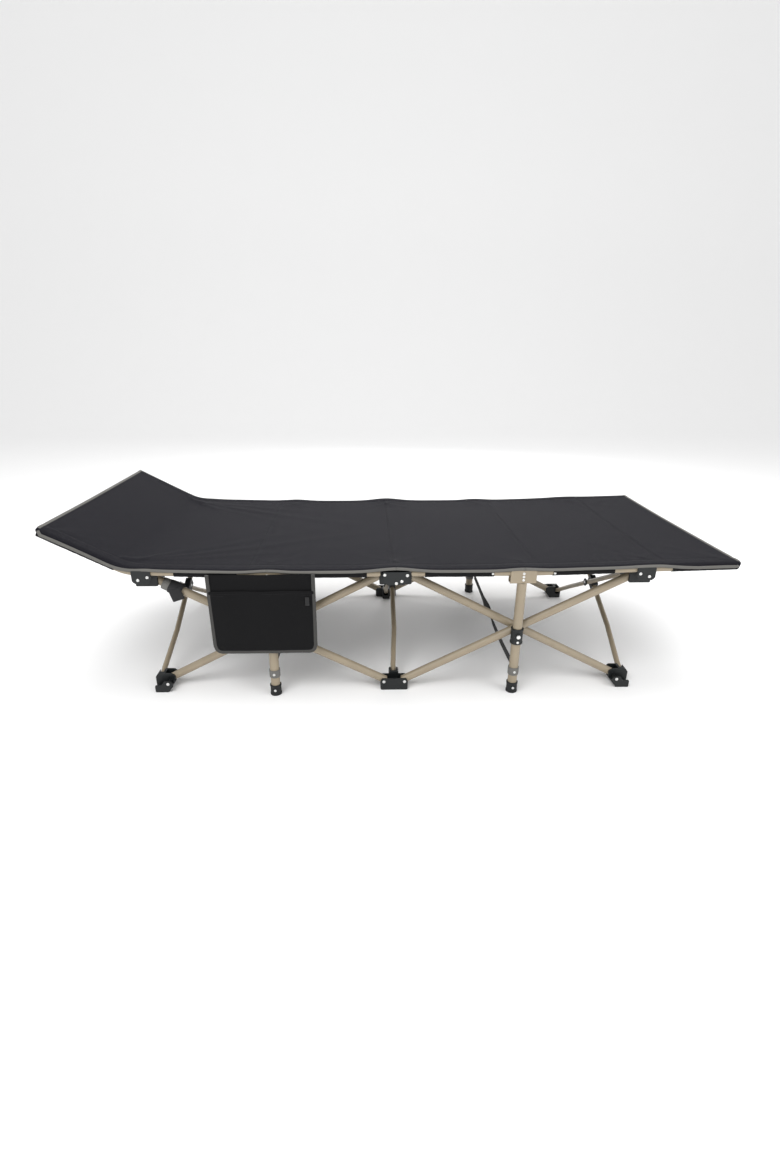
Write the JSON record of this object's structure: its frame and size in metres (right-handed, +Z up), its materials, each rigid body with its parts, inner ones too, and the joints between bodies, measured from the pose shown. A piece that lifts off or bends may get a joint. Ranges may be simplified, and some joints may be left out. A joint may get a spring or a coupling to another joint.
{
  "type": "folding cot",
  "caption": "Folding camp cot: scissor-bar side frames and cross braces joined by moulded hubs, sliding legs and a taut fabric deck with a raised head end and a hanging side pocket.",
  "frame": {"origin": "on the floor under the middle of the cot: the front middle and back middle hubs stand either side of it", "axes": "+X from the head end to the foot end, +Y from the front (pocket side) to the back, +Z up"},
  "size_m": [1.909, 0.825, 0.525],
  "materials": {
    "frame_paint": "satin tan paint on steel tube",
    "black_plastic": "moulded nylon, fine texture",
    "rubber": "moulded rubber",
    "steel_button": "bright steel",
    "deck_cloth": "coated polyester weave",
    "pocket_cloth": "polyester weave",
    "grey_webbing": "woven webbing"
  },
  "bodies": {
    "front_middle_lower_hub": {"front_middle_lower_hub": "black_plastic", "deck_fabric": "deck_cloth", "side_pocket": "pocket_cloth", "webbing_straps": "grey_webbing"},
    "front_foot_outer_bar": {"front_foot_outer_bar": "frame_paint"},
    "front_foot_inner_bar": {"front_foot_inner_bar": "frame_paint"},
    "front_foot_lower_hub": {"front_foot_lower_hub": "black_plastic"},
    "front_foot_upper_hub": {"front_foot_upper_hub": "black_plastic"},
    "front_foot_leg_collar": {"front_foot_leg_collar": "black_plastic"},
    "front_foot_lock_button": {"front_foot_lock_button": "steel_button"},
    "front_foot_inner_rail": {"front_foot_inner_rail": "frame_paint"},
    "front_foot_end_rail": {"front_foot_end_rail": "frame_paint"},
    "front_foot_leg": {"front_foot_leg": "frame_paint", "front_foot_leg_tee": "frame_paint", "front_foot_leg_foot": "rubber"},
    "front_middle_upper_hub": {"front_middle_upper_hub": "black_plastic"},
    "front_head_outer_bar": {"front_head_outer_bar": "frame_paint"},
    "front_head_inner_bar": {"front_head_inner_bar": "frame_paint"},
    "front_head_lower_hub": {"front_head_lower_hub": "black_plastic"},
    "front_head_upper_hub": {"front_head_upper_hub": "black_plastic"},
    "front_head_leg_collar": {"front_head_leg_collar": "black_plastic"},
    "front_head_lock_button": {"front_head_lock_button": "steel_button"},
    "front_head_inner_rail": {"front_head_inner_rail": "frame_paint"},
    "front_head_end_rail": {"front_head_end_rail": "frame_paint"},
    "front_head_leg": {"front_head_leg": "frame_paint", "front_head_leg_tee": "frame_paint", "front_head_leg_foot": "rubber"},
    "back_foot_outer_bar": {"back_foot_outer_bar": "frame_paint"},
    "back_foot_inner_bar": {"back_foot_inner_bar": "frame_paint"},
    "back_foot_lower_hub": {"back_foot_lower_hub": "black_plastic"},
    "back_foot_upper_hub": {"back_foot_upper_hub": "black_plastic"},
    "back_foot_leg_collar": {"back_foot_leg_collar": "black_plastic"},
    "back_foot_lock_button": {"back_foot_lock_button": "steel_button"},
    "back_foot_inner_rail": {"back_foot_inner_rail": "frame_paint"},
    "back_foot_end_rail": {"back_foot_end_rail": "frame_paint"},
    "back_foot_leg": {"back_foot_leg": "frame_paint", "back_foot_leg_tee": "frame_paint", "back_foot_leg_foot": "rubber"},
    "back_middle_upper_hub": {"back_middle_upper_hub": "black_plastic"},
    "back_head_outer_bar": {"back_head_outer_bar": "frame_paint"},
    "back_head_inner_bar": {"back_head_inner_bar": "frame_paint"},
    "back_head_lower_hub": {"back_head_lower_hub": "black_plastic"},
    "back_head_upper_hub": {"back_head_upper_hub": "black_plastic"},
    "back_head_leg_collar": {"back_head_leg_collar": "black_plastic"},
    "back_head_lock_button": {"back_head_lock_button": "steel_button"},
    "back_head_inner_rail": {"back_head_inner_rail": "frame_paint"},
    "back_head_end_rail": {"back_head_end_rail": "frame_paint"},
    "back_head_leg": {"back_head_leg": "frame_paint", "back_head_leg_tee": "frame_paint", "back_head_leg_foot": "rubber"},
    "middle_rising_brace": {"middle_rising_brace": "frame_paint", "middle_brace_block": "black_plastic"},
    "middle_falling_brace": {"middle_falling_brace": "frame_paint"},
    "head_rising_brace": {"head_rising_brace": "frame_paint", "head_brace_block": "black_plastic"},
    "head_falling_brace": {"head_falling_brace": "frame_paint"},
    "foot_rising_brace": {"foot_rising_brace": "frame_paint", "foot_brace_block": "black_plastic"},
    "foot_falling_brace": {"foot_falling_brace": "frame_paint"},
    "back_middle_lower_hub": {"back_middle_lower_hub": "black_plastic"}
  },
  "joints": [
    {"name": "fold", "type": "hinge", "parent": "front_middle_lower_hub", "child": "front_foot_outer_bar", "pos_m": [0.031, -0.354, 0.028], "axis": [0, -1, 0], "range_deg": [0, 58.79], "deforming": ["deck_fabric", "side_pocket", "webbing_straps"]},
    {"name": "front_foot_scissor", "type": "hinge", "parent": "front_foot_outer_bar", "child": "front_foot_inner_bar", "pos_m": [0.353, -0.3285, 0.195], "axis": [0, 1, 0], "range_deg": [0, 117.64]},
    {"name": "front_foot_lower_hub_level", "type": "hinge", "parent": "front_foot_inner_bar", "child": "front_foot_lower_hub", "pos_m": [0.675, -0.3285, 0.028], "axis": [0, -1, 0], "range_deg": [0, 58.84]},
    {"name": "front_foot_upper_hub_level", "type": "hinge", "parent": "front_foot_outer_bar", "child": "front_foot_upper_hub", "pos_m": [0.675, -0.354, 0.362], "axis": [0, 1, 0], "range_deg": [0, 58.84]},
    {"name": "front_foot_collar_level", "type": "hinge", "parent": "front_foot_outer_bar", "child": "front_foot_leg_collar", "pos_m": [0.353, -0.3835, 0.195], "axis": [0, 1, 0], "range_deg": [0, 58.84]},
    {"name": "front_foot_leg_slide", "type": "slide", "parent": "front_foot_leg_collar", "child": "front_foot_leg", "axis": [0, 0, -1], "range_m": [0, 0.08326]},
    {"name": "front_foot_lock_press", "type": "slide", "parent": "front_foot_leg_collar", "child": "front_foot_lock_button", "axis": [0, 1, 0], "range_m": [0, 0.0015], "stiffness_N_per_m": 800},
    {"name": "front_foot_inner_rail_swing", "type": "hinge", "parent": "front_foot_leg", "child": "front_foot_inner_rail", "pos_m": [0.3305, -0.3835, 0.382], "axis": [0, 1, 0], "range_deg": [0, 90.05]},
    {"name": "front_foot_end_rail_swing", "type": "hinge", "parent": "front_foot_leg", "child": "front_foot_end_rail", "pos_m": [0.3755, -0.3835, 0.382], "axis": [0, -1, 0], "range_deg": [0, 88.5]},
    {"name": "front_middle_upper_hub_level", "type": "hinge", "parent": "front_foot_inner_bar", "child": "front_middle_upper_hub", "pos_m": [0.031, -0.3285, 0.362], "axis": [0, -1, 0], "range_deg": [0, 58.84]},
    {"name": "front_head_outer_bar_swing", "type": "hinge", "parent": "front_middle_lower_hub", "child": "front_head_outer_bar", "pos_m": [-0.031, -0.354, 0.028], "axis": [0, 1, 0], "range_deg": [0, 58.84]},
    {"name": "front_head_scissor", "type": "hinge", "parent": "front_head_outer_bar", "child": "front_head_inner_bar", "pos_m": [-0.353, -0.3285, 0.195], "axis": [0, -1, 0], "range_deg": [0, 117.64]},
    {"name": "front_head_lower_hub_level", "type": "hinge", "parent": "front_head_inner_bar", "child": "front_head_lower_hub", "pos_m": [-0.675, -0.3285, 0.028], "axis": [0, 1, 0], "range_deg": [0, 58.84]},
    {"name": "front_head_upper_hub_level", "type": "hinge", "parent": "front_head_outer_bar", "child": "front_head_upper_hub", "pos_m": [-0.675, -0.354, 0.362], "axis": [0, -1, 0], "range_deg": [0, 58.84]},
    {"name": "front_head_collar_level", "type": "hinge", "parent": "front_head_outer_bar", "child": "front_head_leg_collar", "pos_m": [-0.353, -0.3835, 0.195], "axis": [0, -1, 0], "range_deg": [0, 58.84]},
    {"name": "front_head_leg_slide", "type": "slide", "parent": "front_head_leg_collar", "child": "front_head_leg", "axis": [0, 0, -1], "range_m": [0, 0.08326]},
    {"name": "front_head_lock_press", "type": "slide", "parent": "front_head_leg_collar", "child": "front_head_lock_button", "axis": [0, 1, 0], "range_m": [0, 0.0015], "stiffness_N_per_m": 800},
    {"name": "front_head_inner_rail_swing", "type": "hinge", "parent": "front_head_leg", "child": "front_head_inner_rail", "pos_m": [-0.3305, -0.3835, 0.382], "axis": [0, -1, 0], "range_deg": [0, 90.05]},
    {"name": "front_head_end_rail_swing", "type": "hinge", "parent": "front_head_leg", "child": "front_head_end_rail", "pos_m": [-0.3755, -0.3835, 0.382], "axis": [0, 1, 0], "range_deg": [0, 88.5]},
    {"name": "back_foot_outer_bar_swing", "type": "hinge", "parent": "back_middle_lower_hub", "child": "back_foot_outer_bar", "pos_m": [0.031, 0.354, 0.028], "axis": [0, -1, 0], "range_deg": [0, 58.84]},
    {"name": "back_foot_scissor", "type": "hinge", "parent": "back_foot_outer_bar", "child": "back_foot_inner_bar", "pos_m": [0.353, 0.3285, 0.195], "axis": [0, 1, 0], "range_deg": [0, 117.64]},
    {"name": "back_foot_lower_hub_level", "type": "hinge", "parent": "back_foot_inner_bar", "child": "back_foot_lower_hub", "pos_m": [0.675, 0.3285, 0.028], "axis": [0, -1, 0], "range_deg": [0, 58.84]},
    {"name": "back_foot_upper_hub_level", "type": "hinge", "parent": "back_foot_outer_bar", "child": "back_foot_upper_hub", "pos_m": [0.675, 0.354, 0.362], "axis": [0, 1, 0], "range_deg": [0, 58.84]},
    {"name": "back_foot_collar_level", "type": "hinge", "parent": "back_foot_outer_bar", "child": "back_foot_leg_collar", "pos_m": [0.353, 0.3835, 0.195], "axis": [0, 1, 0], "range_deg": [0, 58.84]},
    {"name": "back_foot_leg_slide", "type": "slide", "parent": "back_foot_leg_collar", "child": "back_foot_leg", "axis": [0, 0, -1], "range_m": [0, 0.08326]},
    {"name": "back_foot_lock_press", "type": "slide", "parent": "back_foot_leg_collar", "child": "back_foot_lock_button", "axis": [0, -1, 0], "range_m": [0, 0.0015], "stiffness_N_per_m": 800},
    {"name": "back_foot_inner_rail_swing", "type": "hinge", "parent": "back_foot_leg", "child": "back_foot_inner_rail", "pos_m": [0.3305, 0.3835, 0.382], "axis": [0, 1, 0], "range_deg": [0, 90.05]},
    {"name": "back_foot_end_rail_swing", "type": "hinge", "parent": "back_foot_leg", "child": "back_foot_end_rail", "pos_m": [0.3755, 0.3835, 0.382], "axis": [0, -1, 0], "range_deg": [0, 88.5]},
    {"name": "back_middle_upper_hub_level", "type": "hinge", "parent": "back_foot_inner_bar", "child": "back_middle_upper_hub", "pos_m": [0.031, 0.3285, 0.362], "axis": [0, -1, 0], "range_deg": [0, 58.84]},
    {"name": "back_head_outer_bar_swing", "type": "hinge", "parent": "back_middle_lower_hub", "child": "back_head_outer_bar", "pos_m": [-0.031, 0.354, 0.028], "axis": [0, 1, 0], "range_deg": [0, 58.84]},
    {"name": "back_head_scissor", "type": "hinge", "parent": "back_head_outer_bar", "child": "back_head_inner_bar", "pos_m": [-0.353, 0.3285, 0.195], "axis": [0, -1, 0], "range_deg": [0, 117.64]},
    {"name": "back_head_lower_hub_level", "type": "hinge", "parent": "back_head_inner_bar", "child": "back_head_lower_hub", "pos_m": [-0.675, 0.3285, 0.028], "axis": [0, 1, 0], "range_deg": [0, 58.84]},
    {"name": "back_head_upper_hub_level", "type": "hinge", "parent": "back_head_outer_bar", "child": "back_head_upper_hub", "pos_m": [-0.675, 0.354, 0.362], "axis": [0, -1, 0], "range_deg": [0, 58.84]},
    {"name": "back_head_collar_level", "type": "hinge", "parent": "back_head_outer_bar", "child": "back_head_leg_collar", "pos_m": [-0.353, 0.3835, 0.195], "axis": [0, -1, 0], "range_deg": [0, 58.84]},
    {"name": "back_head_leg_slide", "type": "slide", "parent": "back_head_leg_collar", "child": "back_head_leg", "axis": [0, 0, -1], "range_m": [0, 0.08326]},
    {"name": "back_head_lock_press", "type": "slide", "parent": "back_head_leg_collar", "child": "back_head_lock_button", "axis": [0, -1, 0], "range_m": [0, 0.0015], "stiffness_N_per_m": 800},
    {"name": "back_head_inner_rail_swing", "type": "hinge", "parent": "back_head_leg", "child": "back_head_inner_rail", "pos_m": [-0.3305, 0.3835, 0.382], "axis": [0, -1, 0], "range_deg": [0, 90.05]},
    {"name": "back_head_end_rail_swing", "type": "hinge", "parent": "back_head_leg", "child": "back_head_end_rail", "pos_m": [-0.3755, 0.3835, 0.382], "axis": [0, 1, 0], "range_deg": [0, 88.5]},
    {"name": "middle_rising_brace_swing", "type": "hinge", "parent": "front_middle_lower_hub", "child": "middle_rising_brace", "pos_m": [0, -0.322, 0.028], "axis": [1, 0, 0], "range_deg": [0, 58.84]},
    {"name": "middle_brace_scissor", "type": "hinge", "parent": "middle_rising_brace", "child": "middle_falling_brace", "pos_m": [0, 0, 0.195], "axis": [-1, 0, 0], "range_deg": [0, 117.64]},
    {"name": "head_rising_brace_swing", "type": "hinge", "parent": "front_head_lower_hub", "child": "head_rising_brace", "pos_m": [-0.706, -0.322, 0.028], "axis": [1, 0, 0], "range_deg": [0, 58.84]},
    {"name": "head_brace_scissor", "type": "hinge", "parent": "head_rising_brace", "child": "head_falling_brace", "pos_m": [-0.706, 0, 0.195], "axis": [-1, 0, 0], "range_deg": [0, 117.64]},
    {"name": "foot_rising_brace_swing", "type": "hinge", "parent": "front_foot_lower_hub", "child": "foot_rising_brace", "pos_m": [0.706, -0.322, 0.028], "axis": [1, 0, 0], "range_deg": [0, 58.84]},
    {"name": "foot_brace_scissor", "type": "hinge", "parent": "foot_rising_brace", "child": "foot_falling_brace", "pos_m": [0.706, 0, 0.195], "axis": [-1, 0, 0], "range_deg": [0, 117.64]},
    {"name": "back_middle_lower_hub_level", "type": "hinge", "parent": "middle_falling_brace", "child": "back_middle_lower_hub", "pos_m": [0, 0.322, 0.028], "axis": [1, 0, 0], "range_deg": [0, 58.84]}
  ],
  "couplings": [
    {"joint": "front_foot_scissor", "follows": "fold", "ratio": 2},
    {"joint": "front_foot_lower_hub_level", "follows": "fold", "ratio": 1},
    {"joint": "front_foot_upper_hub_level", "follows": "fold", "ratio": 1},
    {"joint": "front_foot_collar_level", "follows": "fold", "ratio": 1},
    {"joint": "front_foot_leg_slide", "follows": "fold", "m_per_rad": 0.080949},
    {"joint": "front_foot_inner_rail_swing", "follows": "fold", "ratio": 1.5308},
    {"joint": "front_foot_end_rail_swing", "follows": "fold", "ratio": 1.5044},
    {"joint": "front_middle_upper_hub_level", "follows": "fold", "ratio": 1},
    {"joint": "front_head_outer_bar_swing", "follows": "fold", "ratio": 1},
    {"joint": "front_head_scissor", "follows": "fold", "ratio": 2},
    {"joint": "front_head_lower_hub_level", "follows": "fold", "ratio": 1},
    {"joint": "front_head_upper_hub_level", "follows": "fold", "ratio": 1},
    {"joint": "front_head_collar_level", "follows": "fold", "ratio": 1},
    {"joint": "front_head_leg_slide", "follows": "fold", "m_per_rad": 0.080949},
    {"joint": "front_head_inner_rail_swing", "follows": "fold", "ratio": 1.5308},
    {"joint": "front_head_end_rail_swing", "follows": "fold", "ratio": 1.5044},
    {"joint": "back_foot_outer_bar_swing", "follows": "fold", "ratio": 1},
    {"joint": "back_foot_scissor", "follows": "fold", "ratio": 2},
    {"joint": "back_foot_lower_hub_level", "follows": "fold", "ratio": 1},
    {"joint": "back_foot_upper_hub_level", "follows": "fold", "ratio": 1},
    {"joint": "back_foot_collar_level", "follows": "fold", "ratio": 1},
    {"joint": "back_foot_leg_slide", "follows": "fold", "m_per_rad": 0.080949},
    {"joint": "back_foot_inner_rail_swing", "follows": "fold", "ratio": 1.5308},
    {"joint": "back_foot_end_rail_swing", "follows": "fold", "ratio": 1.5044},
    {"joint": "back_middle_upper_hub_level", "follows": "fold", "ratio": 1},
    {"joint": "back_head_outer_bar_swing", "follows": "fold", "ratio": 1},
    {"joint": "back_head_scissor", "follows": "fold", "ratio": 2},
    {"joint": "back_head_lower_hub_level", "follows": "fold", "ratio": 1},
    {"joint": "back_head_upper_hub_level", "follows": "fold", "ratio": 1},
    {"joint": "back_head_collar_level", "follows": "fold", "ratio": 1},
    {"joint": "back_head_leg_slide", "follows": "fold", "m_per_rad": 0.080949},
    {"joint": "back_head_inner_rail_swing", "follows": "fold", "ratio": 1.5308},
    {"joint": "back_head_end_rail_swing", "follows": "fold", "ratio": 1.5044},
    {"joint": "middle_rising_brace_swing", "follows": "fold", "ratio": 1},
    {"joint": "middle_brace_scissor", "follows": "fold", "ratio": 2},
    {"joint": "head_rising_brace_swing", "follows": "fold", "ratio": 1},
    {"joint": "head_brace_scissor", "follows": "fold", "ratio": 2},
    {"joint": "foot_rising_brace_swing", "follows": "fold", "ratio": 1},
    {"joint": "foot_brace_scissor", "follows": "fold", "ratio": 2},
    {"joint": "back_middle_lower_hub_level", "follows": "fold", "ratio": 1}
  ]
}
